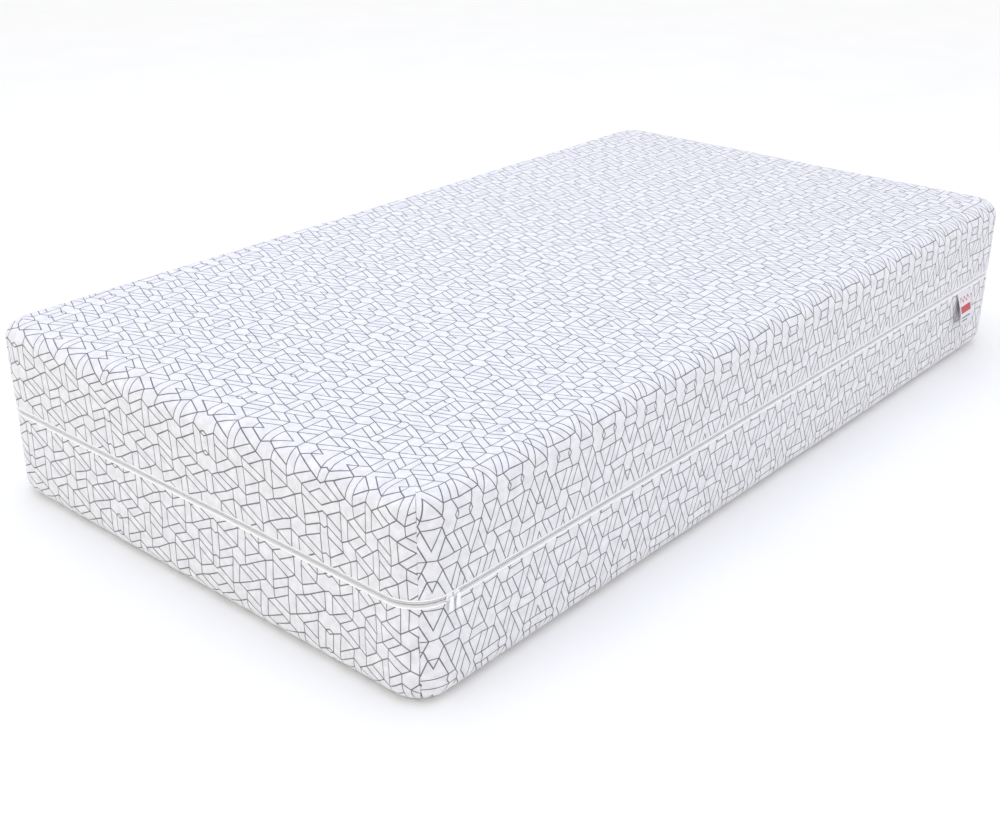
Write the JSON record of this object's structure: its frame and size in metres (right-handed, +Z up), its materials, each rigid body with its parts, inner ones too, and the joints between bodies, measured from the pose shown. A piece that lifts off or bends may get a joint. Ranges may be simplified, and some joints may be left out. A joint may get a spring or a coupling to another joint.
{
  "type": "memory foam mattress",
  "caption": "Thick foam mattress in a patterned knitted cover, with an all-round zip at mid height, ribbon pulls, a sewn side label and layered foam in a sock.",
  "frame": {"origin": "centre of the mattress's underside", "axes": "+X along the length, +Z up out of the sleeping surface, +Y across the width; the zip sliders and the label are on the -Y side"},
  "size_m": [2, 1.1211, 0.352],
  "materials": {
    "knit_cover": "white jacquard knit with thin grey lines",
    "zip_tape": "white woven tape",
    "zip_coil": "pale grey nylon coil",
    "slider": "white enamel",
    "pull_ribbon": "white ribbon",
    "label": null,
    "sock": "thin off-white knitted sock",
    "memory_foam": "open-cell memory foam",
    "transition_foam": "open-cell comfort foam",
    "base_foam": "open-cell support foam"
  },
  "bodies": {
    "mattress": {"cover_top": "knit_cover", "cover_bottom": "knit_cover", "seam_top_back_right": "knit_cover", "seam_top_back_left": "knit_cover", "seam_top_front_left": "knit_cover", "seam_top_front_right": "knit_cover", "seam_bottom_back_right": "knit_cover", "seam_bottom_back_left": "knit_cover", "seam_bottom_front_left": "knit_cover", "seam_bottom_front_right": "knit_cover", "zip_tape_upper": "zip_tape", "zip_tape_lower": "zip_tape", "zip_coil_upper": "zip_coil", "zip_coil_lower": "zip_coil", "sock_upper": "sock", "sock_lower": "sock", "base_foam": "base_foam", "transition_foam": "transition_foam", "memory_foam": "memory_foam"},
    "slider_left": {"slider_left": "slider"},
    "slider_right": {"slider_right": "slider"},
    "pull_left": {"pull_left": "pull_ribbon"},
    "pull_right": {"pull_right": "pull_ribbon"},
    "side_label": {"side_label": "label"}
  },
  "joints": [
    {"name": "slider_left_turn", "type": "hinge", "parent": "mattress", "child": "slider_left", "pos_m": [-0.936, -0.486, 0.182], "axis": [0, 0, -1], "range_deg": [0, 90]},
    {"name": "slider_right_run", "type": "slide", "parent": "mattress", "child": "slider_right", "axis": [1, 0, 0], "range_m": [0, 1.8568]},
    {"name": "pull_left_swing", "type": "hinge", "parent": "slider_left", "child": "pull_left", "pos_m": [-0.936, -0.5541, 0.182], "axis": [-1, 0, 0], "range_deg": [0, 150]},
    {"name": "pull_right_swing", "type": "hinge", "parent": "slider_right", "child": "pull_right", "pos_m": [-0.9208, -0.5541, 0.182], "axis": [-1, 0, 0], "range_deg": [0, 150]},
    {"name": "side_label_lift", "type": "hinge", "parent": "mattress", "child": "side_label", "pos_m": [0.817, -0.5508, 0.175], "axis": [-1, 0, 0], "range_deg": [0, 150]}
  ]
}
